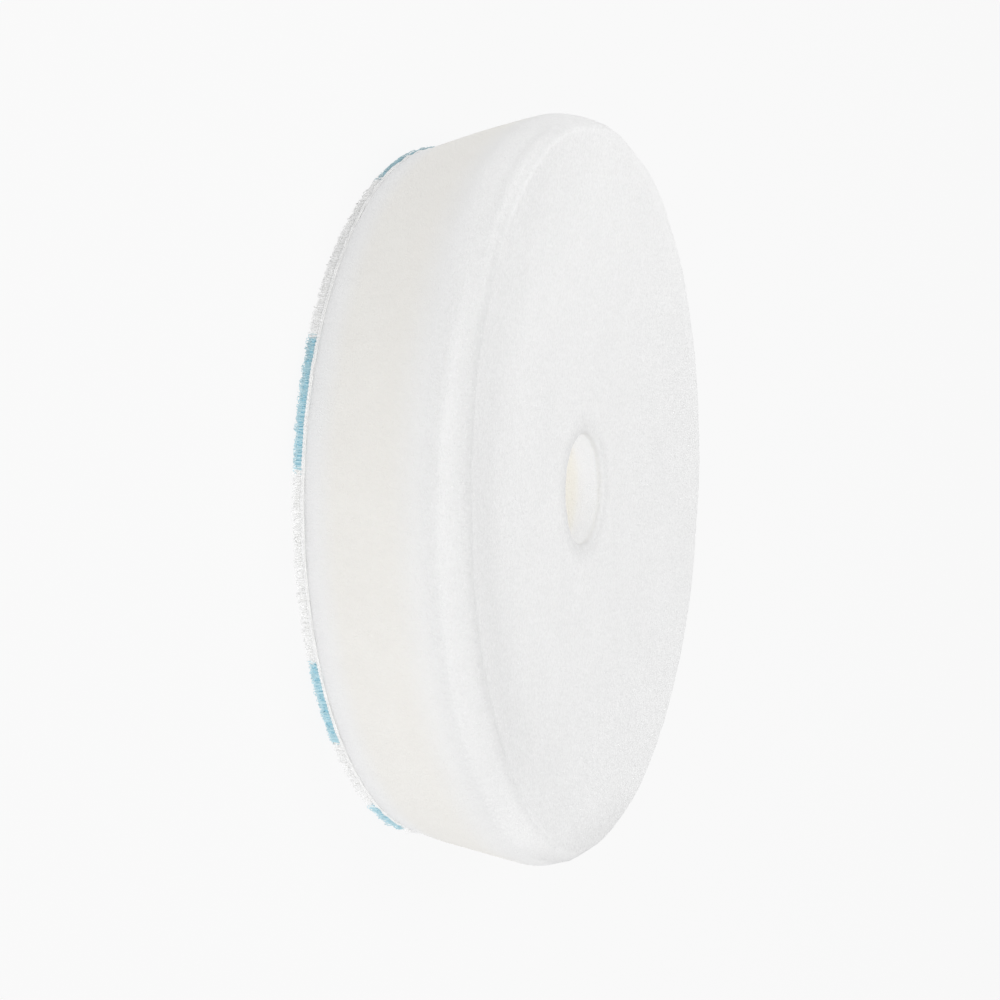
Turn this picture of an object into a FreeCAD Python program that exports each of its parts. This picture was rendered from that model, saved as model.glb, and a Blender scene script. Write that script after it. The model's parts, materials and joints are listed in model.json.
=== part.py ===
import FreeCAD, Part
import math
import os

# Foam polishing pad of the 150 mm class, for a machine polisher.
# Frame: millimetres, origin at the centre of the loop side's outer plane,
# +Z along the pad's axis from the loop side to the working face.
# From Z = 0 up: loop pile, knitted ground of the loop cloth, hot-melt adhesive
# film, foam. Everything is round about Z, and a hole runs through all layers.

# --- driving dimensions -------------------------------------------------------
WIDEST_DIAMETER = 150.0      # across the rim, just under the working face
BACK_DIAMETER = 139.2        # foam, film and cloth at the loop side
BORE_DIAMETER = 22.0         # hole that centres the pad on its backing plate

PILE_HEIGHT = 2.0            # free height of the woven loops
GROUND_THICKNESS = 0.5       # knitted ground that carries the loops
FILM_THICKNESS = 0.3         # hot-melt film between cloth and foam

WIDEST_HEIGHT = 28.1         # height of the widest ring above the loop side
ROLL_RADIAL = 3.6            # semi-axis of the rim's elliptical roll, radially
ROLL_AXIAL = 7.2             # semi-axis of the same roll, along the axis
CREASE_DIAMETER = 143.6      # tight valley between the rim and the face
CREASE_DEPTH = 0.7           # valley floor below the rim's crest
CREASE_WIDTH = 0.8           # radial width of the valley's outer wall
FACE_EDGE_RISE = 0.25        # face just inside the valley, above its floor
FACE_EDGE_WIDTH = 2.2        # radial distance in which the face rises so much
FACE_DISH = 2.0              # drop of the face from there to the hole
HALFWAY_RISE = 0.25          # share of the dish gained halfway from hole to edge
MOUTH_RADIUS = 1.2           # rounding where the face turns into the hole

# The loop cloth is printed with broad straight bands, perpendicular to X.
# Each pair is a printed band's lowest and highest X.
CLOTH_RADIUS = BACK_DIAMETER / 2
PRINT_BANDS = (
    (-64.0, -56.3),
    (-40.7, -25.0),
    (11.4, 34.1),
    (63.2, CLOTH_RADIUS),
)

# --- derived heights and radii ------------------------------------------------
GROUND_BOTTOM = PILE_HEIGHT
FILM_BOTTOM = GROUND_BOTTOM + GROUND_THICKNESS
FOAM_BOTTOM = FILM_BOTTOM + FILM_THICKNESS
BORE_RADIUS = BORE_DIAMETER / 2
WIDEST_RADIUS = WIDEST_DIAMETER / 2
CREASE_RADIUS = CREASE_DIAMETER / 2
ROLL_CENTRE_RADIUS = WIDEST_RADIUS - ROLL_RADIAL
AXIS_POINT = FreeCAD.Vector(0, 0, 0)
AXIS_UP = FreeCAD.Vector(0, 0, 1)
FULL_TURN = 360


def rz(radius, height):
    """A point of a half-section, in the XZ plane."""
    return FreeCAD.Vector(radius, 0, height)


def line(start, end):
    """A straight edge of a half-section."""
    return Part.LineSegment(start, end).toShape()


def arc(start, middle, end):
    """A circular edge through three points of a half-section."""
    return Part.Arc(start, middle, end).toShape()


def revolve(edges):
    """The solid of revolution about Z of a closed half-section."""
    face = Part.Face(Part.Wire(edges))
    return face.revolve(AXIS_POINT, AXIS_UP, FULL_TURN)


def ring(outer_radius, bottom, height):
    """A flat layer with the centre hole through it."""
    base = FreeCAD.Vector(0, 0, bottom)
    disc = Part.makeCylinder(outer_radius, height, base, AXIS_UP)
    hole = Part.makeCylinder(BORE_RADIUS, height, base, AXIS_UP)
    return disc.cut(hole)


def roll_point(angle):
    """A point of the rim's elliptical roll, at its parametric angle."""
    radius = ROLL_CENTRE_RADIUS + ROLL_RADIAL * math.cos(angle)
    height = WIDEST_HEIGHT + ROLL_AXIAL * math.sin(angle)
    return rz(radius, height)


def side_tangent_angle():
    """Parametric angle at which the straight side meets the roll tangentially."""
    across = (CLOTH_RADIUS - ROLL_CENTRE_RADIUS) / ROLL_RADIAL
    along = (FOAM_BOTTOM - WIDEST_HEIGHT) / ROLL_AXIAL
    distance = math.hypot(across, along)
    return math.atan2(along, across) + math.acos(1 / distance)


def roll_edge(first_angle, last_angle):
    """The rim's roll, from the side up to its crest."""
    centre = rz(ROLL_CENTRE_RADIUS, WIDEST_HEIGHT)
    long_tip = rz(ROLL_CENTRE_RADIUS, WIDEST_HEIGHT + ROLL_AXIAL)
    side_tip = rz(WIDEST_RADIUS, WIDEST_HEIGHT)
    ellipse = Part.Ellipse(long_tip, side_tip, centre)
    first = ellipse.parameter(roll_point(first_angle))
    last = ellipse.parameter(roll_point(last_angle))
    if abs(last - first) > math.pi:
        first, last = min(first, last), max(first, last) - 2 * math.pi
    return Part.ArcOfEllipse(ellipse, min(first, last), max(first, last)).toShape()


def foam_body():
    """Tapered side, rolled rim, valley, dished face and centre hole."""
    crest_radius = CREASE_RADIUS + CREASE_WIDTH
    crest_angle = math.acos((crest_radius - ROLL_CENTRE_RADIUS) / ROLL_RADIAL)
    tangent_angle = side_tangent_angle()
    crest = roll_point(crest_angle)

    valley = rz(CREASE_RADIUS, crest.z - CREASE_DEPTH)
    face_edge = rz(CREASE_RADIUS - FACE_EDGE_WIDTH, valley.z + FACE_EDGE_RISE)
    face_low = face_edge.z - FACE_DISH
    mouth_outer = rz(BORE_RADIUS + MOUTH_RADIUS, face_low)
    face_half = (face_edge.x + mouth_outer.x) / 2
    # A shallow dish: flat at the hole, rising to the edge of the face.
    face_middle = rz(face_half, face_low + FACE_DISH * HALFWAY_RISE)
    mouth_inner = rz(BORE_RADIUS, face_low - MOUTH_RADIUS)
    turn = MOUTH_RADIUS * (1 - math.sqrt(0.5))
    mouth_middle = rz(BORE_RADIUS + turn, face_low - turn)

    side_foot = rz(CLOTH_RADIUS, FOAM_BOTTOM)
    bore_foot = rz(BORE_RADIUS, FOAM_BOTTOM)
    return revolve([
        line(bore_foot, side_foot),
        line(side_foot, roll_point(tangent_angle)),
        roll_edge(tangent_angle, crest_angle),
        line(crest, valley),
        line(valley, face_edge),
        arc(face_edge, face_middle, mouth_outer),
        arc(mouth_outer, mouth_middle, mouth_inner),
        line(mouth_inner, bore_foot),
    ])


def adhesive_film():
    """Thin hot-melt sheet that bonds the cloth to the foam."""
    return ring(CLOTH_RADIUS, FILM_BOTTOM, FILM_THICKNESS)


def knit_ground():
    """The loop cloth's flat knitted ground."""
    return ring(CLOTH_RADIUS, GROUND_BOTTOM, GROUND_THICKNESS)


def band(low, high):
    """A block across the cloth between two X values, as high as the pile."""
    corner = FreeCAD.Vector(low, -CLOTH_RADIUS, 0)
    return Part.makeBox(high - low, 2 * CLOTH_RADIUS, PILE_HEIGHT, corner)


def pile_pieces(bands):
    """The stretches of the loop pile that lie in the given bands."""
    pile = ring(CLOTH_RADIUS, 0, PILE_HEIGHT)
    pieces = []
    for low, high in bands:
        pieces.extend(pile.common(band(low, high)).Solids)
    return Part.makeCompound(pieces)


def plain_bands():
    """The unprinted bands, between the printed ones and out to the edge."""
    edges = [-CLOTH_RADIUS]
    for low, high in PRINT_BANDS:
        edges.extend((low, high))
    edges.append(CLOTH_RADIUS)
    pairs = zip(edges[0::2], edges[1::2])
    return [(low, high) for low, high in pairs if high > low]


PARTS = {
    "foam_body": foam_body(),
    "adhesive_film": adhesive_film(),
    "knit_ground": knit_ground(),
    "loop_pile_plain": pile_pieces(plain_bands()),
    "loop_pile_printed": pile_pieces(PRINT_BANDS),
}

os.makedirs("parts", exist_ok=True)
for name, shape in PARTS.items():
    box = shape.BoundBox
    print(name, "solids", len(shape.Solids), "valid", shape.isValid(),
          "volume", round(shape.Volume, 1), "z", round(box.ZMin, 3), round(box.ZMax, 3),
          "x", round(box.XMin, 3), round(box.XMax, 3))
    shape.exportStep("parts/" + name + ".step")
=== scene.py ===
import json
import math

import bmesh
import bpy
import numpy as np
from mathutils import Matrix, Vector


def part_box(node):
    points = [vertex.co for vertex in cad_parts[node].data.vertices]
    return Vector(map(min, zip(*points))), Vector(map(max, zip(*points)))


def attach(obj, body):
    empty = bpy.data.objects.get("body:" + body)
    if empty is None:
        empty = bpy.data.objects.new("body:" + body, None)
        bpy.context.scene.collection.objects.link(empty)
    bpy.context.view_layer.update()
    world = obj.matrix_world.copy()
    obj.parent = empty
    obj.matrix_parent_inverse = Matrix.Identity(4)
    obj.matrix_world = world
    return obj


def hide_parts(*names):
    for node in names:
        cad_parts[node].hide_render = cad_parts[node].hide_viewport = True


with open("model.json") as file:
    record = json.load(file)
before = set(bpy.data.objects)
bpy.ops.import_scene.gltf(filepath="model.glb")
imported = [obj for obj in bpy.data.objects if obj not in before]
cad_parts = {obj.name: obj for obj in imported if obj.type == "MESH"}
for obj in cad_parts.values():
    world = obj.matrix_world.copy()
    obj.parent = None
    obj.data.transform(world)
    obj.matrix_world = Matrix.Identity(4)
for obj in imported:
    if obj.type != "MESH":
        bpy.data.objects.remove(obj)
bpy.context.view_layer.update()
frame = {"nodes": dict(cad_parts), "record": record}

# Foam polishing pad, lying on its loop side. Lengths are in metres, and the
# frame is the CAD model's: +Z from the loop side to the working face.
MM = 0.001

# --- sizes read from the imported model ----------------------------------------
PAD_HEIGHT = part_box("foam_body")[1].z
FOAM_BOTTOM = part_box("foam_body")[0].z
WIDEST_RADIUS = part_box("foam_body")[1].x
CLOTH_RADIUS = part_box("knit_ground")[1].x
GROUND_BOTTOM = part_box("knit_ground")[0].z
FILM_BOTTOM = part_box("adhesive_film")[0].z
BORE = next(m for m in frame["record"]["mounts"] if m["name"] == "centre_bore")
BORE_RADIUS = BORE["dims"]["r_mm"] * MM
MOUTH_BOTTOM = BORE["dims"]["length_mm"] * MM

# --- foam --------------------------------------------------------------------
WIDEST_HEIGHT = 28.1 * MM      # height of the widest ring
ROLL_RADIAL = 3.6 * MM         # semi-axes of the rim's elliptical roll
ROLL_AXIAL = 7.2 * MM
CREST_RADIUS = 72.6 * MM       # top of the roll, outer lip of the crease
CREASE_RADIUS = 71.8 * MM
CREASE_SECTION = (             # distance in from the crest, and depth below it
    (0.4 * MM, 0.02 * MM),
    (0.8 * MM, 0.06 * MM),
    (1.2 * MM, 0.10 * MM),
    (1.6 * MM, 0.14 * MM),
    (2.3 * MM, 0.16 * MM),
)
FACE_EDGE_RADIUS = 69.6 * MM
FACE_EDGE_HEIGHT = 34.74 * MM
MOUTH_RADIUS = 1.2 * MM
FACE_LOW = MOUTH_BOTTOM + MOUTH_RADIUS
GRAIN = (0.008 * MM, 0.014 * MM)      # unevenness from cell to cell: side, ground faces
LUMPS = (0.012 * MM, 0.024 * MM)      # and over a few cells
WAVES = 0.08 * MM                     # and over the whole block
PIT_DEPTH = 0.15 * MM
PIT_SHARE = 0.004
RAGGED = 0.03 * MM                    # at the crease
BULGE = 0.65 * MM              # the side is a little fuller than a straight taper
WEDGE = 1.3 * MM               # the face isn't quite parallel to the cloth: high at +X
TILT = 0.3 * MM                # and high at -Y
LEAN = (0.7 * MM, 0.4 * MM)    # and it isn't quite centred over the cloth
SHORT_END = 0.5 * MM           # the pad is a little short of round at +X
PRESSED = 0.5 * MM            # and its loops are pressed flatter there
CLOTH_OVERHANG = 0.45 * MM
OVAL_CENTRE = (-1.25 * MM, -0.9 * MM)    # at +Y the crease is an oval, not a circle:
OVAL_TURN = math.radians(28.5)           # it is stretched along the axis at this angle
OVAL_STRETCH = (1.035, 0.95)             # by so much, and across it
SIDE_ROWS = 34
ROLL_ROWS = 20
OUTER_FACE_ROWS = 46
INNER_FACE_ROWS = 30
BORE_ROWS = 22
FINE_COUNT = 640               # points round the side, rim and outer face
COARSE_COUNT = 320             # points round the inner face and the hole
STEP_DOWN_RADIUS = 36.0 * MM   # where the face changes from fine to coarse

# --- loop cloth ---------------------------------------------------------------
LOOP_SPACING = 1.25 * MM
LOOP_WIDTH = 0.85 * MM
LOOP_THICKNESS = 0.13 * MM     # radius of one bundle of filaments
EDGE_THICKNESS = 0.075 * MM    # and of the finer ones that fringe the edges
EDGE_SPACING = 0.42 * MM
LOOP_HEIGHT = (1.35 * MM, 1.78 * MM)
LOOP_LEAN = 0.32 * MM          # deviation of how far a loop leans
PILE_LEAN = (0.12 * MM, 0.2 * MM)      # and the way that all of them lean
PILE_BOTTOM = 0.02 * MM        # no fibre reaches lower
FIBRE_RADIUS = 0.055 * MM      # of a stray filament
PRINT_BLEED = 0.5 * MM         # how far the print's edge wanders
MAT_TOP = 0.85 * MM            # matted fibres fill the pile above this height
MAT_VOXEL = 0.55 * MM
COURSE_PITCH = 0.8 * MM        # from one stitch of the ground's edge to the next


# --- small tools ---------------------------------------------------------------
def smooth(value, low, high):
    """0 below low, 1 above high, and a smooth step between."""
    t = np.clip((value - low) / (high - low), 0, 1)
    return t * t * (3 - 2 * t)


def blend(ends, share):
    """From the first of two values to the second, as share goes from 0 to 1."""
    return ends[0] + (ends[1] - ends[0]) * share


def smooth_noise(points, wavelength, seed, waves=28):
    """A seeded random field of mean 0 and deviation 1 that varies over wavelength."""
    rng = np.random.default_rng(seed)
    direction = rng.normal(size=(waves, 3))
    direction /= np.linalg.norm(direction, axis=1)[:, None]
    stretch = rng.uniform(0.7, 1.4, (waves, 1))
    wave = direction * stretch * 2 * math.pi / wavelength
    phase = rng.uniform(0, 2 * math.pi, waves)
    return np.sqrt(2 / waves) * np.sin(points @ wave.T + phase).sum(axis=1)


def settle(points):
    """Gives points the real pad's slight lack of truth: a fuller side, a lean, a wedge."""
    x, y, z = points.T
    share = np.clip(z / PAD_HEIGHT, 0, 1.05)
    swell = CLOTH_OVERHANG * (1 - share) + BULGE * 4 * share * (1 - share)
    grown = 1 + swell / CLOTH_RADIUS
    rise = (WEDGE * x - TILT * y) / WIDEST_RADIUS * share
    press = PRESSED * smooth(x, 46 * MM, 72 * MM) * np.clip(1 - z / GROUND_BOTTOM, 0, 1)
    drop = SHORT_END * smooth(x, 20 * MM, 70 * MM) + press
    return np.stack([x * grown + LEAN[0] * share - drop, y * grown + LEAN[1] * share,
                     z + rise + press], axis=1)


def new_object(name, points, faces, smooth_shaded=True):
    """A mesh object that rides on the root body."""
    mesh = bpy.data.meshes.new(name)
    mesh.from_pydata(settle(points).tolist(), [], faces)
    mesh.update()
    if smooth_shaded:
        mesh.shade_smooth()
    piece = bpy.data.objects.new(name, mesh)
    bpy.context.scene.collection.objects.link(piece)
    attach(piece, "root")
    return piece


def ring(radius, height, count):
    """count points round the axis, all at one radius and height."""
    angle = np.arange(count) * 2 * math.pi / count
    radius = np.broadcast_to(radius, count)
    return np.stack([radius * np.cos(angle), radius * np.sin(angle),
                     np.full(count, height)], axis=1)


def join_rings(first, second, first_start, second_start):
    """Faces between two rings, which have as many points or twice as many."""
    n, m = len(first), len(second)
    if n == m:
        return [(first_start + i, first_start + (i + 1) % n,
                 second_start + (i + 1) % n, second_start + i) for i in range(n)]
    if n == 2 * m:
        faces = []
        for j in range(m):
            a, b, c = (first_start + (2 * j + k) % n for k in range(3))
            p, q = second_start + j, second_start + (j + 1) % m
            faces += [(a, b, p), (b, q, p), (b, c, q)]
        return faces
    return [face[::-1] for face in join_rings(second, first, second_start, first_start)]


def revolved_mesh(rings):
    """Points and faces of the closed skin through the rings, the last joined to the first."""
    starts = np.cumsum([0] + [len(each) for each in rings])
    faces = []
    for i, current in enumerate(rings):
        j = (i + 1) % len(rings)
        faces += join_rings(current, rings[j], int(starts[i]), int(starts[j]))
    return np.concatenate(rings), faces


def displace(piece, offset):
    """Moves each vertex along its normal by its own offset."""
    mesh = piece.data
    count = len(mesh.vertices)
    normal = np.zeros(count * 3)
    mesh.vertex_normals.foreach_get("vector", normal)
    points = np.zeros(count * 3)
    mesh.vertices.foreach_get("co", points)
    moved = points.reshape(-1, 3) + normal.reshape(-1, 3) * offset[:, None]
    mesh.vertices.foreach_set("co", moved.ravel())
    mesh.update()


def points_of(mesh):
    """A mesh's points as an array."""
    points = np.zeros(len(mesh.vertices) * 3)
    mesh.vertices.foreach_get("co", points)
    return points.reshape(-1, 3)


# --- foam body -----------------------------------------------------------------
def rim_shift(points, radius):
    """How far the crease's oval lies from the circle, as a move in X and Y."""
    cosine, sine = math.cos(OVAL_TURN), math.sin(OVAL_TURN)
    turn = np.array([[cosine, -sine], [sine, cosine]])
    oval = points[:, :2] @ turn * OVAL_STRETCH @ turn.T + OVAL_CENTRE
    near = smooth(points[:, 1] / radius, 0.0, 0.4)
    return (oval - points[:, :2]) * near[:, None]


def foam_section():
    """Rings of the foam's skin, from the hole's foot round to the hole's wall."""
    roll_radius = WIDEST_RADIUS - ROLL_RADIAL
    crest_angle = math.acos((CREST_RADIUS - roll_radius) / ROLL_RADIAL)
    crest_height = WIDEST_HEIGHT + ROLL_AXIAL * math.sin(crest_angle)
    across = (CLOTH_RADIUS - roll_radius) / ROLL_RADIAL
    along = (FOAM_BOTTOM - WIDEST_HEIGHT) / ROLL_AXIAL
    tangent = math.atan2(along, across) + math.acos(1 / math.hypot(across, along))

    section = []

    def add(radius, height, count=FINE_COUNT):
        points = ring(radius, height, count)
        near_crest = smooth(radius, 45 * MM, 68 * MM) * smooth(height, 31 * MM, 34 * MM)
        points[:, :2] += near_crest * rim_shift(points, radius)
        section.append(points)

    for radius in np.linspace(BORE_RADIUS, STEP_DOWN_RADIUS, 3):
        add(radius, FOAM_BOTTOM, COARSE_COUNT)
    for radius in np.linspace(STEP_DOWN_RADIUS, CLOTH_RADIUS, 4)[1:]:
        add(radius, FOAM_BOTTOM)
    foot = (CLOTH_RADIUS, FOAM_BOTTOM)
    shoulder = (roll_radius + ROLL_RADIAL * math.cos(tangent),
                WIDEST_HEIGHT + ROLL_AXIAL * math.sin(tangent))
    for t in np.linspace(0, 1, SIDE_ROWS)[1:-1]:
        add(foot[0] + (shoulder[0] - foot[0]) * t, foot[1] + (shoulder[1] - foot[1]) * t)
    for angle in np.linspace(tangent, crest_angle, ROLL_ROWS):
        add(roll_radius + ROLL_RADIAL * math.cos(angle),
            WIDEST_HEIGHT + ROLL_AXIAL * math.sin(angle))
    for inset, dip in CREASE_SECTION:
        add(CREST_RADIUS - inset, crest_height)
        open_side = smooth(section[-1][:, 1], -45 * MM, 35 * MM)
        section[-1][:, 2] -= dip * (0.3 + 0.7 * open_side)

    mouth_outer = BORE_RADIUS + MOUTH_RADIUS
    for radius in np.linspace(FACE_EDGE_RADIUS, STEP_DOWN_RADIUS, OUTER_FACE_ROWS):
        add(radius, face_height(radius))
    for radius in np.linspace(STEP_DOWN_RADIUS, mouth_outer, INNER_FACE_ROWS)[1:]:
        add(radius, face_height(radius), COARSE_COUNT)
    for angle in np.linspace(0, math.pi / 2, 7)[1:]:
        add(mouth_outer - MOUTH_RADIUS * math.sin(angle),
            MOUTH_BOTTOM + MOUTH_RADIUS * math.cos(angle), COARSE_COUNT)
    for height in np.linspace(MOUTH_BOTTOM, FOAM_BOTTOM, BORE_ROWS)[1:-1]:
        add(BORE_RADIUS, height, COARSE_COUNT)
    return section


def face_height(radius):
    """The dished working face: lowest at the hole, highest near the crease."""
    share = (radius - BORE_RADIUS) / (FACE_EDGE_RADIUS - BORE_RADIUS)
    return FACE_LOW + (FACE_EDGE_HEIGHT - FACE_LOW) * share ** 2


def foam():
    """One block of open-cell foam, with the unevenness of cut and ground foam."""
    points, faces = revolved_mesh(foam_section())
    piece = new_object("foam", points, faces)
    radius = np.hypot(points[:, 0], points[:, 1])
    height = points[:, 2]
    glued = height < FOAM_BOTTOM + 0.1 * MM
    ground = smooth(height, 26 * MM, 30 * MM) * (radius > BORE_RADIUS + 0.3 * MM)

    rng = np.random.default_rng(11)
    cells = rng.normal(size=len(points))
    grain = cells * blend(GRAIN, ground)
    waves = smooth_noise(points, 24 * MM, 12) * WAVES
    lumps = smooth_noise(points, 3.5 * MM, 13) * blend(LUMPS, ground)
    pits = (rng.random(len(points)) < PIT_SHARE) * ground * PIT_DEPTH
    in_crease = np.exp(-((radius - CREASE_RADIUS) / (0.5 * MM)) ** 2) * (height > 33 * MM)
    ragged = smooth_noise(points, 2.2 * MM, 14) * RAGGED * in_crease
    offset = grain + waves + lumps - pits + ragged
    offset[glued] = 0
    displace(piece, offset)
    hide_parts("foam_body")
    return piece


# --- adhesive and knitted ground -----------------------------------------------
def washer(outer, inner, bottom, top, count, edge_rows):
    """Rings of a flat washer whose outer edge has rows enough to be shaped."""
    rings = [ring(inner, bottom, count), ring(outer - 1.2 * MM, bottom, count)]
    for angle in np.linspace(-math.pi / 2, math.pi / 2, edge_rows):
        half = (top - bottom) / 2
        rings.append(ring(outer - half + half * math.cos(angle),
                          (bottom + top) / 2 + half * math.sin(angle), count))
    rings += [ring(outer - 1.2 * MM, top, count), ring(inner, top, count)]
    return rings


def adhesive():
    """Hot-melt film, squeezed unevenly to the edge."""
    points, faces = revolved_mesh(washer(CLOTH_RADIUS + 0.03 * MM, BORE_RADIUS,
                                         FILM_BOTTOM, FOAM_BOTTOM, 900, 5))
    radius = np.hypot(points[:, 0], points[:, 1])
    edge = smooth(radius, CLOTH_RADIUS - 1.0 * MM, CLOTH_RADIUS)
    squeeze = 1 + smooth_noise(points, 5 * MM, 21) * edge * 0.10 * MM / CLOTH_RADIUS
    points[:, :2] *= squeeze[:, None]
    piece = new_object("adhesive", points, faces)
    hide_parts("adhesive_film")
    return piece


def knit():
    """The cloth's ground: its cut edge shows one stitch per course."""
    stitches = round(2 * math.pi * CLOTH_RADIUS / COURSE_PITCH)
    points, faces = revolved_mesh(washer(CLOTH_RADIUS, BORE_RADIUS,
                                         GROUND_BOTTOM, FILM_BOTTOM, stitches * 5, 5))
    angle = np.arctan2(points[:, 1], points[:, 0])
    radius = np.hypot(points[:, 0], points[:, 1])
    edge = smooth(radius, CLOTH_RADIUS - 0.6 * MM, CLOTH_RADIUS - 0.1 * MM)
    stitch = np.abs(np.sin(angle * stitches / 2))
    cut = smooth_noise(points, 4 * MM, 31) * 0.08 * MM
    points[:, :2] *= (1 + edge * (stitch * 0.14 * MM + cut) / CLOTH_RADIUS)[:, None]
    middle = (GROUND_BOTTOM + FILM_BOTTOM) / 2
    points[:, 2] = middle + (points[:, 2] - middle) * (1 - edge * 0.35 * (1 - stitch))
    piece = new_object("knit", points, faces)
    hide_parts("knit_ground")
    return piece


# --- loop pile -------------------------------------------------------------------
def print_bands():
    """The printed bands' lowest and highest X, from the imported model's solids."""
    mesh = bmesh.new()
    mesh.from_mesh(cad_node("loop_pile_printed").data)
    bmesh.ops.remove_doubles(mesh, verts=mesh.verts, dist=0.001 * MM)
    left, found = set(mesh.verts), []
    while left:
        todo, xs = [left.pop()], []
        while todo:
            vertex = todo.pop()
            xs.append(vertex.co.x)
            for edge in vertex.link_edges:
                other = edge.other_vert(vertex)
                if other in left:
                    left.remove(other)
                    todo.append(other)
        found.append((min(xs), max(xs)))
    mesh.free()
    return sorted(found)


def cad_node(name):
    return frame["nodes"][name]


def is_printed(points, bands, rng):
    """Which points lie in a printed band, with an edge that bleeds a little."""
    bleed = smooth_noise(points, 6 * MM, 41) * 0.6 + rng.normal(size=len(points)) * 0.5
    x = points[:, 0] + bleed * PRINT_BLEED
    inside = np.zeros(len(points), bool)
    for low, high in bands:
        outermost = high > CLOTH_RADIUS - 0.1 * MM
        inside |= (x > low) & ((x < high) | outermost)
    return inside


def loop_feet(rng):
    """Where the loops stand: rows of a knit, each place shifted a little."""
    row_pitch = LOOP_SPACING * math.sqrt(3) / 2
    rows = int(CLOTH_RADIUS / row_pitch) + 1
    columns = int(CLOTH_RADIUS / LOOP_SPACING) + 1
    row, column = np.meshgrid(np.arange(-rows, rows + 1), np.arange(-columns, columns + 1))
    x = (column + 0.5 * (row % 2)) * LOOP_SPACING
    y = row * row_pitch
    feet = np.stack([x.ravel(), y.ravel(), np.zeros(x.size)], axis=1)
    feet[:, :2] += rng.normal(size=(len(feet), 2)) * 0.22 * LOOP_SPACING
    radius = np.hypot(feet[:, 0], feet[:, 1])
    return feet[(radius < CLOTH_RADIUS - 0.9 * MM) & (radius > BORE_RADIUS + 0.7 * MM)]


def edge_feet(radius, spacing, rng):
    """A row of loops round an edge."""
    count = round(2 * math.pi * radius / spacing)
    feet = ring(radius + rng.normal(size=count) * 0.12 * MM, 0, count)
    angle = rng.normal(size=count) * 0.3 * spacing / radius
    turned = feet.copy()
    turned[:, 0] = feet[:, 0] * np.cos(angle) - feet[:, 1] * np.sin(angle)
    turned[:, 1] = feet[:, 0] * np.sin(angle) + feet[:, 1] * np.cos(angle)
    return turned


def tubes(paths, radius):
    """Three-sided tubes with capped ends along many paths at once."""
    count, steps, _ = paths.shape
    along = np.gradient(paths, axis=1)
    along /= np.linalg.norm(along, axis=2, keepdims=True) + 1e-12
    side = np.cross(along, np.array([0.31, 0.47, 0.83]))
    side /= np.linalg.norm(side, axis=2, keepdims=True) + 1e-12
    other = np.cross(along, side)
    corner = np.arange(3) * 2 * math.pi / 3
    offset = (side[:, :, None] * np.cos(corner)[:, None]
              + other[:, :, None] * np.sin(corner)[:, None])
    points = paths[:, :, None] + offset * radius[:, :, None, None]
    start = np.arange(count)[:, None, None] * steps * 3
    ring_start = start + np.arange(steps - 1)[:, None] * 3
    k = np.arange(3)
    quads = np.stack([ring_start + k, ring_start + (k + 1) % 3,
                      ring_start + 3 + (k + 1) % 3, ring_start + 3 + k], axis=-1)
    first = start[:, 0] + np.array([2, 1, 0])
    last = start[:, 0] + (steps - 1) * 3 + np.array([0, 1, 2])
    faces = quads.reshape(-1, 4).tolist() + first.tolist() + last.tolist()
    return points.reshape(-1, 3), faces


def loop_paths(feet, rng, steps, outward=0.0):
    """Arches that stand on the ground, bulge at the top and lean at random."""
    count = len(feet)
    turn = rng.uniform(0, math.pi, count)
    across = np.stack([np.cos(turn), np.sin(turn)], axis=1)
    width = LOOP_WIDTH * rng.uniform(0.7, 1.3, count)
    height = rng.uniform(*LOOP_HEIGHT, count)
    lean = rng.normal(size=(count, 2)) * LOOP_LEAN + np.array(PILE_LEAN)
    away = feet[:, :2] / (np.linalg.norm(feet[:, :2], axis=1)[:, None] + 1e-9)
    lean += away * outward
    lean *= 1 - 0.6 * smooth(feet[:, :1], 30 * MM, 65 * MM)
    t = np.linspace(0, 1, steps)
    swing = -np.cos(math.pi * t) * (1 + 0.5 * np.sin(math.pi * t)) / 2
    rise = np.sin(math.pi * t) ** 0.8
    paths = np.zeros((count, steps, 3))
    paths[:, :, :2] = (feet[:, None, :2] + across[:, None] * (width[:, None] * swing)[..., None]
                       + lean[:, None] * (rise ** 1.6)[None, :, None])
    paths[:, :, 2] = GROUND_BOTTOM + 0.1 * MM - height[:, None] * rise
    return paths


def pile_loops(name, feet, node, seed, thickness=LOOP_THICKNESS, steps=6, outward=0.0):
    """A field of loops as one piece."""
    rng = np.random.default_rng(seed)
    paths = loop_paths(feet, rng, steps, outward)
    radius = thickness * rng.uniform(0.75, 1.2, (len(feet), 1)) * np.ones(steps)
    points, faces = tubes(paths, radius)
    points[:, 2] = np.maximum(points[:, 2], PILE_BOTTOM)
    piece = new_object(name, points, faces)
    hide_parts(node)
    return piece


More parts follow.
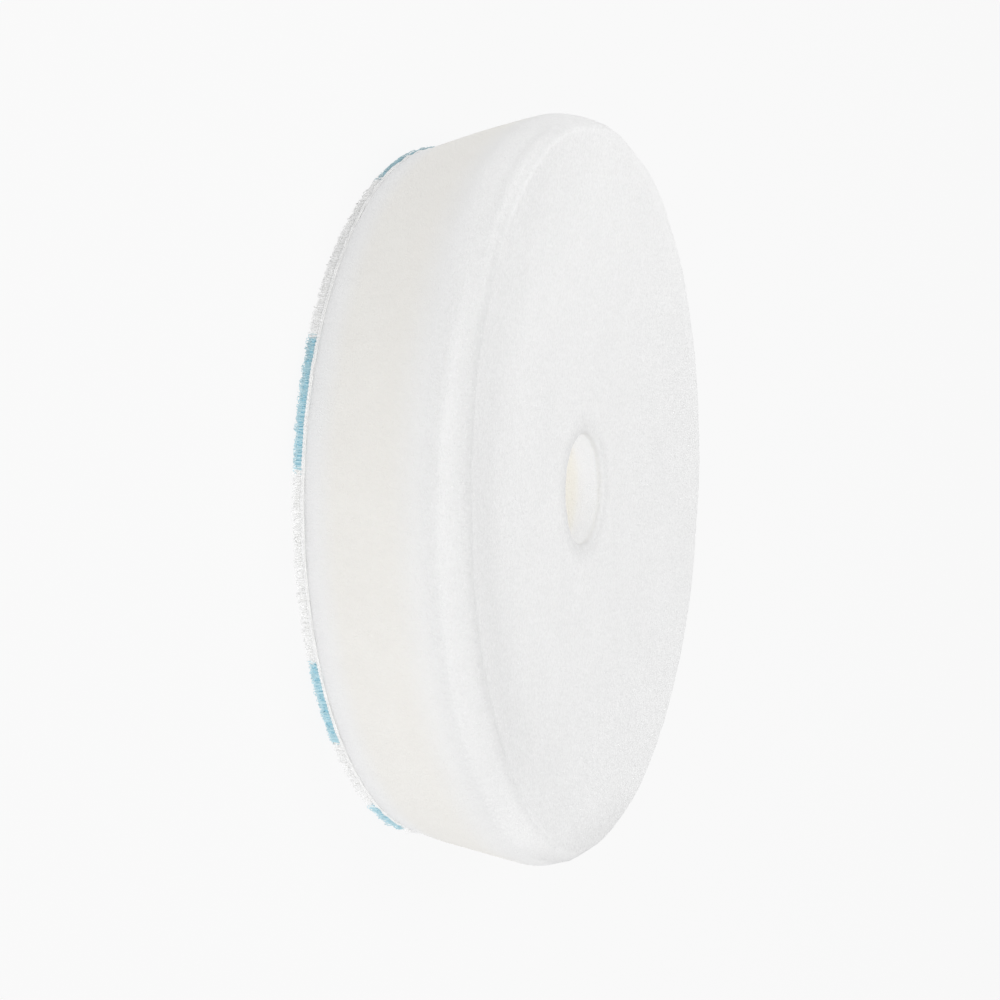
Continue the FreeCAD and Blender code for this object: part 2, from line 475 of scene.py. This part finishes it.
def pile_mat(name, node, seed):
    """Matted fibres between the loops: the CAD slab, lumpy and lower than the loops."""
    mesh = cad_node(node).data.copy()
    source = bpy.data.objects.new("slab", mesh)
    bpy.context.scene.collection.objects.link(source)
    points = points_of(mesh)
    points[:, 2] = np.where(points[:, 2] < GROUND_BOTTOM / 2, MAT_TOP, GROUND_BOTTOM)
    mesh.vertices.foreach_set("co", points.ravel())
    remesh = source.modifiers.new("remesh", "REMESH")
    remesh.mode = "VOXEL"
    remesh.voxel_size = MAT_VOXEL
    graph = bpy.context.evaluated_depsgraph_get()
    made = bpy.data.meshes.new_from_object(source.evaluated_get(graph))
    bpy.data.objects.remove(source)
    made.name = name
    made.shade_smooth()
    piece = bpy.data.objects.new(name, made)
    bpy.context.scene.collection.objects.link(piece)
    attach(piece, "root")
    points = points_of(made)
    free = 1 - smooth(points[:, 2], GROUND_BOTTOM - 0.5 * MM, GROUND_BOTTOM - 0.1 * MM)
    rng = np.random.default_rng(seed)
    lumps = smooth_noise(points, 1.8 * MM, seed) * 0.16 * MM
    displace(piece, (lumps + rng.normal(size=len(points)) * 0.08 * MM) * free)
    made.vertices.foreach_set("co", settle(points_of(made)).ravel())
    made.update()
    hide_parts(node)
    return piece


def stray_fibres(feet, name, node, seed):
    """Single filaments that stick out of the pile's edge."""
    rng = np.random.default_rng(seed)
    count, steps = len(feet), 5
    away = feet[:, :2] / np.linalg.norm(feet[:, :2], axis=1)[:, None]
    sideways = np.stack([-away[:, 1], away[:, 0]], axis=1)
    t = np.linspace(0, 1, steps)[None, :, None]
    reach = rng.uniform(0.3, 1.1, (count, 1, 1)) * MM
    bend = rng.normal(size=(count, 1, 1)) * 0.5 * MM
    paths = np.zeros((count, steps, 3))
    paths[:, :, :2] = (feet[:, None, :2] + away[:, None] * reach * t
                       + sideways[:, None] * bend * t ** 2)
    drop = rng.uniform(0.6, 1.7, (count, 1)) * MM
    paths[:, :, 2] = GROUND_BOTTOM - drop * t[0, :, 0] ** 0.7
    radius = FIBRE_RADIUS * (1 - 0.6 * t[0, :, 0])[None] * np.ones((count, 1))
    points, faces = tubes(paths, radius)
    points[:, 2] = np.maximum(points[:, 2], PILE_BOTTOM)
    piece = new_object(name, points, faces)
    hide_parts(node)
    return piece


# --- materials -------------------------------------------------------------------
class Finish:
    """A node material with a Principled shader and a few shorthand helpers."""

    def __init__(self, name, roughness, **fixed):
        self.material = bpy.data.materials.new(name)
        self.material.use_nodes = True
        self.material.cycles.emission_sampling = "NONE"
        self.tree = self.material.node_tree
        self.shader = self.tree.nodes["Principled BSDF"]
        self.shader.inputs["Roughness"].default_value = roughness
        for socket, value in fixed.items():
            self.shader.inputs[socket.replace("_", " ")].default_value = value
        self.place = self.node("ShaderNodeTexCoord").outputs["Object"]

    def node(self, kind, **settings):
        made = self.tree.nodes.new(kind)
        for key, value in settings.items():
            setattr(made, key, value)
        return made

    def link(self, output, socket):
        self.tree.links.new(output, socket)

    def noise(self, size, detail=2.0):
        """A noise from 0 to 1 whose features are about size across."""
        made = self.node("ShaderNodeTexNoise")
        self.link(self.place, made.inputs["Vector"])
        made.inputs["Scale"].default_value = 1 / size
        made.inputs["Detail"].default_value = detail
        return made.outputs["Fac"]

    def cells(self, size, feature="F1"):
        """Distance from the middle of the nearest of many irregular cells."""
        made = self.node("ShaderNodeTexVoronoi", feature=feature)
        self.link(self.place, made.inputs["Vector"])
        made.inputs["Scale"].default_value = 1 / size
        return made.outputs["Distance"]

    def remap(self, value, low, high, new_low=0.0, new_high=1.0):
        made = self.node("ShaderNodeMapRange", interpolation_type="SMOOTHSTEP")
        self.link(value, made.inputs["Value"])
        for socket, number in (("From Min", low), ("From Max", high),
                               ("To Min", new_low), ("To Max", new_high)):
            made.inputs[socket].default_value = number
        return made.outputs["Result"]

    def math(self, operation, first, second):
        made = self.node("ShaderNodeMath", operation=operation)
        for socket, value in zip(made.inputs, (first, second)):
            if isinstance(value, (int, float)):
                socket.default_value = value
            else:
                self.link(value, socket)
        return made.outputs["Value"]

    def times(self, first, *others):
        """A product of several values."""
        for other in others:
            first = self.math("MULTIPLY", first, other)
        return first

    def rest(self, share):
        """What a share leaves."""
        return self.math("SUBTRACT", 1, share)

    def darken(self, color, share, grey):
        """The colour times a grey, where share is 1."""
        return self.mix(share, color, (grey, grey, grey), "MULTIPLY")

    def mix(self, factor, first, second, blend="MIX"):
        made = self.node("ShaderNodeMix", data_type="RGBA", blend_type=blend)
        self.link(factor, made.inputs["Factor"])
        for socket, value in ((made.inputs[6], first), (made.inputs[7], second)):
            if isinstance(value, tuple):
                socket.default_value = (*value, 1.0)
            else:
                self.link(value, socket)
        return made.outputs[2]

    def radius(self, centre=(0, 0)):
        """Distance from an upright axis."""
        shift = self.node("ShaderNodeVectorMath", operation="SUBTRACT")
        self.link(self.place, shift.inputs[0])
        shift.inputs[1].default_value = (*centre, 0)
        return self.flat_length(shift.outputs["Vector"])

    def oval_radius(self):
        """Distance from the crease's middle, as if its oval were still a circle."""
        round_again = self.node("ShaderNodeMapping", vector_type="TEXTURE")
        self.link(self.place, round_again.inputs["Vector"])
        middle = (OVAL_CENTRE[0] + LEAN[0], OVAL_CENTRE[1] + LEAN[1], 0)
        round_again.inputs["Location"].default_value = middle
        round_again.inputs["Rotation"].default_value = (0, 0, OVAL_TURN)
        round_again.inputs["Scale"].default_value = (*OVAL_STRETCH, 1)
        return self.flat_length(round_again.outputs["Vector"])

    def flat_length(self, vector):
        """Length of a vector's X and Y part."""
        flat = self.node("ShaderNodeVectorMath", operation="MULTIPLY")
        self.link(vector, flat.inputs[0])
        flat.inputs[1].default_value = (1, 1, 0)
        length = self.node("ShaderNodeVectorMath", operation="LENGTH")
        self.link(flat.outputs["Vector"], length.inputs[0])
        return length.outputs["Value"]

    def axes(self):
        split = self.node("ShaderNodeSeparateXYZ")
        self.link(self.place, split.inputs["Vector"])
        return split.outputs["X"], split.outputs["Y"], split.outputs["Z"]

    def bump(self, height, depth, strength=1.0, below=None):
        made = self.node("ShaderNodeBump")
        made.inputs["Strength"].default_value = strength
        made.inputs["Distance"].default_value = depth
        self.link(height, made.inputs["Height"])
        if below is not None:
            self.link(below, made.inputs["Normal"])
        return made.outputs["Normal"]

    def glow(self, color, strength, share_left):
        """A glow that is weaker at the +X end."""
        x, y, z = self.axes()
        self.shader.inputs["Emission Color"].default_value = color
        self.link(self.remap(x, 5 * MM, 60 * MM, strength, share_left * strength),
                  self.shader.inputs["Emission Strength"])

    def finish(self, color, normal):
        self.link(color, self.shader.inputs["Base Color"])
        self.link(normal, self.shader.inputs["Normal"])
        return self.material


FOAM_WHITE = (0.925, 0.925, 0.925)
FOAM_FACE = (0.957, 0.957, 0.957)
FOAM_PAINTED_LIGHT = (0.997, 0.997, 0.997)
FOAM_CREAM = (0.925, 0.908, 0.872)
FOAM_BORE = (0.905, 0.913, 0.935)
FOAM_DEEP = (0.92, 0.902, 0.856)
FOAM_PAINTED_GLINT = (0.99, 0.99, 0.99)
SHADE_BY_GLUE = (0.965, 0.965, 0.97)
BORE_GLOW = 0.097             # light that reaches the hole's wall through the foam
CELL = 0.62 * MM              # on the ground faces
FINE_CELL = 0.38 * MM         # on the cut side
LOOP_WHITE = ((0.62, 0.62, 0.62), (0.74, 0.74, 0.74))
LOOP_BLUE = ((0.28, 0.42, 0.46), (0.37, 0.53, 0.58))
KNIT_WHITE = ((0.78, 0.78, 0.78), (0.86, 0.86, 0.86))
GLUE_WHITE = ((0.76, 0.76, 0.75), (0.84, 0.84, 0.83))


def foam_colours(f, ground, in_bore):
    """White where it is ground, with painted light on it towards +X, creamy low on the side and
    deep in the hole.
    """
    x, y, z = f.axes()
    # Painted light: the ground face is lighter towards +X, as if more light fell there.
    painted_light_end = f.times(f.remap(x, 5 * MM, 65 * MM), ground)
    above_glue = f.remap(z, 4.5 * MM, 10.5 * MM)
    below_rim = f.remap(z, 20 * MM, 29 * MM, 1.0, 0.0)
    creamy = f.times(above_glue, below_rim, f.rest(in_bore))
    below_mouth = f.times(in_bore, f.remap(z, 30.5 * MM, 31.5 * MM, 1.0, 0.0))
    deep = f.times(in_bore, f.remap(z, 25.5 * MM, 28.5 * MM, 1.0, 0.0))
    tone = f.mix(ground, FOAM_WHITE, FOAM_FACE)
    tone = f.mix(painted_light_end, tone, FOAM_PAINTED_LIGHT)
    tone = f.mix(creamy, tone, FOAM_CREAM)
    tone = f.mix(below_mouth, tone, FOAM_BORE)
    return f.mix(deep, tone, FOAM_DEEP)


def frayed(f, distance, size, reach):
    """A distance that wanders by up to half of reach, over about size."""
    return f.math("ADD", distance, f.times(f.math("SUBTRACT", f.noise(size, 3.0), 0.5), reach))


def crease_shade(f, rim_r, inside_crease):
    """How dark it is at the crease and on the face beside it, at +Y."""
    x, y, z = f.axes()
    off_line = f.math("SUBTRACT", frayed(f, rim_r, 0.7 * MM, 1.0 * MM), CREST_RADIUS + 0.1 * MM)
    crease = f.remap(f.math("ABSOLUTE", off_line, 0), 0.0, 1.0 * MM, 0.6, 0.0)
    margin = f.times(f.remap(rim_r, 42 * MM, 68 * MM), inside_crease,
                     f.remap(x, -62 * MM, -35 * MM, 0.35, 1.0), 0.55)
    return f.times(f.math("MAXIMUM", crease, margin), f.remap(y, -10 * MM, 35 * MM))


def mouth_shade(f, r):
    """How dark it is round the hole's mouth: less so at -Y."""
    x, y, z = f.axes()
    return f.times(f.remap(z, 31 * MM, 31.8 * MM),
                   f.remap(frayed(f, r, 1.6 * MM, 2.2 * MM), 11.5 * MM, 16.5 * MM, 0.85, 0.0),
                   f.remap(y, -8 * MM, 8 * MM, 0.6, 1.0))


def foam_shades(f, tone, ground, r, rim_r):
    """Painted shade: darkens the foam on the rim at +Y, at the crease, round the hole's mouth,
    at the -X end and beside the glue.
    """
    x, y, z = f.axes()
    inside_crease = f.remap(rim_r, CREASE_RADIUS - 1.0 * MM, CREASE_RADIUS, 1.0, 0.0)
    # Painted shade on the rim at +Y, more by the crest, fading towards +X.
    painted_rim_shade = f.times(f.remap(y, 35 * MM, 60 * MM), f.rest(inside_crease),
                       f.remap(x, 35 * MM, 65 * MM, 1.0, 0.4))
    tone = f.darken(tone, f.times(painted_rim_shade, ground), 0.935)
    tone = f.darken(tone, f.times(painted_rim_shade, f.remap(z, 31.5 * MM, 34 * MM)), 0.955)
    # Painted shade at the -X end, at the crease and round the hole's mouth.
    painted_shade_low_end = f.remap(x, -76 * MM, -62 * MM, 1.0, 0.0)
    shade = f.math("MAXIMUM", crease_shade(f, rim_r, inside_crease),
                   f.math("MAXIMUM", painted_shade_low_end, mouth_shade(f, r)))
    tone = f.darken(tone, f.times(shade, f.remap(z, 29.5 * MM, 31 * MM)), 0.87)
    # Painted shade on the foam just above the glue.
    return f.mix(f.remap(z, 3.0 * MM, 6.0 * MM, 1.0, 0.0), tone, SHADE_BY_GLUE, "MULTIPLY")


def foam_cells(f, tone, ground, rim_r):
    """The cells' own light and dark, painted glints, and their relief."""
    coarse = f.remap(f.cells(CELL), 0.1, 0.75, 1.0, 0.0)
    fine = f.remap(f.cells(FINE_CELL), 0.1, 0.75, 1.0, 0.0)
    grain = f.times(ground, f.remap(rim_r, CREASE_RADIUS, CREASE_RADIUS + 1 * MM, 1.0, 0.5))
    mottle = f.remap(f.noise(0.9 * MM, 3.0), 0.36, 0.64)
    # Painted glints: small bright specks on the ground faces where cell walls would catch the
    # light.
    painted_glints = f.remap(f.noise(0.5 * MM, 1.0), 0.66, 0.78)
    tone = f.darken(tone, f.remap(f.noise(9 * MM, 3.0), 0.3, 0.7), 0.985)
    tone = f.darken(tone, f.times(coarse, grain), 0.955)
    tone = f.darken(tone, f.times(mottle, grain), 0.97)
    tone = f.mix(f.times(painted_glints, grain), tone, FOAM_PAINTED_GLINT)
    normal = f.bump(fine, 0.055 * MM)
    return tone, f.bump(f.times(coarse, grain), 0.06 * MM, below=normal)


def foam_finish():
    """Open cells, coarse on the ground face and rim, fine and creamy on the side."""
    f = Finish("foam", 0.95, Specular_IOR_Level=0.15, Subsurface_Weight=0.4,
               Subsurface_Radius=(1.0, 1.0, 1.0), Subsurface_Scale=1.5 * MM)
    x, y, z = f.axes()
    r = f.radius(LEAN)
    rim_r = f.oval_radius()
    in_bore = f.remap(r, BORE_RADIUS + 0.4 * MM, BORE_RADIUS + 1.2 * MM, 1.0, 0.0)
    ground = f.times(f.remap(z, 26 * MM, 30 * MM), f.rest(in_bore))
    tone = foam_colours(f, ground, in_bore)
    tone = foam_shades(f, tone, ground, r, rim_r)
    tone, normal = foam_cells(f, tone, ground, rim_r)
    f.link(tone, f.shader.inputs["Emission Color"])
    f.link(f.times(in_bore, f.remap(z, 30.5 * MM, 32 * MM, BORE_GLOW, 0.0),
                   f.remap(z, 25 * MM, 29.5 * MM, 1.0, 1.3)),
           f.shader.inputs["Emission Strength"])
    return f.finish(tone, normal)


# Thin fibres let light through: each finish glows a little with its own colour.
# Colour, strength, and the share of it that is left at the +X end.
WHITE_GLOW = ((0.95, 0.95, 0.95, 1), 0.41, 0.6)
BLUE_GLOW = ((0.56, 0.79, 0.87, 1), 0.44, 0.35)
KNIT_GLOW = ((0.95, 0.95, 0.95, 1), 0.17, 0.65)
GLUE_GLOW = ((0.93, 0.93, 0.92, 1), 0.19, 0.65)


def fibre_finish(name, tones, glow):
    """Nylon fibres: lighter and darker bundles with a soft sheen."""
    f = Finish(name, 0.75, Sheen_Weight=0.25, Sheen_Roughness=0.5)
    f.glow(*glow)
    tone = f.mix(f.remap(f.noise(1.1 * MM, 3.0), 0.3, 0.7), *tones)
    normal = f.bump(f.noise(0.16 * MM, 2.0), 0.05 * MM)
    return f.finish(tone, normal)


def knit_finish():
    """White warp knit: courses and wales as a fine relief."""
    f = Finish("knit", 0.85, Sheen_Weight=0.15)
    f.glow(*KNIT_GLOW)
    tone = f.mix(f.remap(f.noise(0.8 * MM, 2.0), 0.3, 0.7), *KNIT_WHITE)
    normal = f.bump(f.cells(0.4 * MM), 0.12 * MM)
    return f.finish(tone, normal)


def film_finish():
    """Cloudy hot melt."""
    f = Finish("hot_melt", 0.45)
    f.glow(*GLUE_GLOW)
    tone = f.mix(f.remap(f.noise(3 * MM, 2.0), 0.3, 0.7), *GLUE_WHITE)
    normal = f.bump(f.noise(0.7 * MM, 2.0), 0.06 * MM)
    return f.finish(tone, normal)


# --- stage, light and camera --------------------------------------------------------
WHITE = (1, 1, 1, 1)
FLOOR_SIZE = 8.0
FLOOR_HEIGHT = -0.2 * MM
FLOOR_COLOR = (0.05, 0.05, 0.05, 1)
FLOOR_GLOW = 0.902
WORLD_STRENGTH = 0.567
PAD_MIDDLE = Vector((0, 0, 15)) * MM
LIGHT_DISTANCE = 1.2
LIGHT_SIZE = 0.8
LIGHTS = (                   # azimuth and elevation in degrees, and power in watts
    ("front", 90, 45, 2.05),
    ("key", 135, 30, 2.06),
    ("top", 0, 70, 3.57),
)


def floor():
    """A plain pale floor under the pad, bright enough to read as white paper."""
    bpy.ops.mesh.primitive_plane_add(size=FLOOR_SIZE, location=(0, 0, FLOOR_HEIGHT))
    plane = bpy.context.object
    plane.name = "floor"
    material = bpy.data.materials.new("floor")
    material.use_nodes = True
    shader = material.node_tree.nodes["Principled BSDF"]
    shader.inputs["Base Color"].default_value = FLOOR_COLOR
    shader.inputs["Roughness"].default_value = 1.0
    shader.inputs["Specular IOR Level"].default_value = 0.0
    shader.inputs["Emission Color"].default_value = WHITE
    shader.inputs["Emission Strength"].default_value = FLOOR_GLOW
    plane.data.materials.append(material)


def area_light(name, azimuth, elevation, power):
    """A large round soft light aimed at the pad."""
    azimuth, elevation = math.radians(azimuth), math.radians(elevation)
    away = Vector((math.cos(azimuth) * math.cos(elevation),
                   math.sin(azimuth) * math.cos(elevation), math.sin(elevation)))
    data = bpy.data.lights.new(name, "AREA")
    data.shape = "DISK"
    data.size = LIGHT_SIZE
    data.energy = power
    light = bpy.data.objects.new(name, data)
    light.location = PAD_MIDDLE + away * LIGHT_DISTANCE
    light.rotation_euler = away.to_track_quat("Z", "Y").to_euler()
    bpy.context.scene.collection.objects.link(light)


def studio():
    """Bright even surroundings, with soft lights from the camera's side and above."""
    world = bpy.data.worlds.new("studio")
    world.use_nodes = True
    background = world.node_tree.nodes["Background"]
    background.inputs["Color"].default_value = WHITE
    background.inputs["Strength"].default_value = WORLD_STRENGTH
    bpy.context.scene.world = world
    for light in LIGHTS:
        area_light(*light)


CAMERA_AIM = Vector((-1.86, 0.74, 14.06)) * MM
CAMERA_DISTANCE = 510.8 * MM
CAMERA_AZIMUTH = 83.32       # from +X towards +Y, in degrees
CAMERA_ELEVATION = 20.75
CAMERA_UP = Vector((1, 0, 0))
CAMERA_ROLL = 1.35
CAMERA_LENS = 90.0


def camera():
    azimuth = math.radians(CAMERA_AZIMUTH)
    elevation = math.radians(CAMERA_ELEVATION)
    back = Vector((math.cos(azimuth) * math.cos(elevation),
                   math.sin(azimuth) * math.cos(elevation), math.sin(elevation)))
    data = bpy.data.cameras.new("camera")
    data.lens = CAMERA_LENS
    data.clip_start = 0.01
    view = bpy.data.objects.new("camera", data)
    right = CAMERA_UP.cross(back).normalized()
    turn = Matrix((right, back.cross(right), back)).transposed().to_4x4()
    roll = Matrix.Rotation(math.radians(-CAMERA_ROLL), 4, "Z")
    view.matrix_world = Matrix.Translation(CAMERA_AIM + back * CAMERA_DISTANCE) @ turn @ roll
    bpy.context.scene.collection.objects.link(view)
    bpy.context.scene.camera = view


# --- the pad ---------------------------------------------------------------------------
def pad():
    foam_piece = foam()
    film_piece = adhesive()
    knit_piece = knit()
    rng = np.random.default_rng(51)
    bands = print_bands()
    slots = (("plain", False, "loop_pile_plain", "loops_white"),
             ("printed", True, "loop_pile_printed", "loops_blue"))
    field = loop_feet(rng)
    rows = np.linspace(0.1, 1.2, 6) * MM
    rim = np.concatenate([edge_feet(CLOTH_RADIUS - inset, EDGE_SPACING, rng) for inset in rows]
                         + [edge_feet(BORE_RADIUS + inset, EDGE_SPACING, rng)
                            for inset in (0.3 * MM, 0.6 * MM)])
    stray = edge_feet(CLOTH_RADIUS - 0.3 * MM, 0.7 * MM, rng)
    finishes = {False: fibre_finish("loops_white", LOOP_WHITE, WHITE_GLOW),
                True: fibre_finish("loops_blue", LOOP_BLUE, BLUE_GLOW)}
    pile = []
    for word, printed, node, slot in slots:
        chosen = field[is_printed(field, bands, rng) == printed]
        edge = rim[is_printed(rim, bands, rng) == printed]
        loose = stray[is_printed(stray, bands, rng) == printed]
        made = [pile_mat("pile_mat_" + word, node, 61),
                pile_loops("pile_loops_" + word, chosen, node, 62),
                pile_loops("pile_edge_" + word, edge, node, 63, EDGE_THICKNESS,
                           outward=0.12 * MM),
                stray_fibres(loose, "pile_fuzz_" + word, node, 64)]
        for piece in made:
            piece.data.materials.append(finishes[printed])
        pile += made
    foam_piece.data.materials.append(foam_finish())
    film_piece.data.materials.append(film_finish())
    knit_piece.data.materials.append(knit_finish())


pad()
floor()
studio()
camera()
bpy.context.scene.view_settings.view_transform = "Standard"
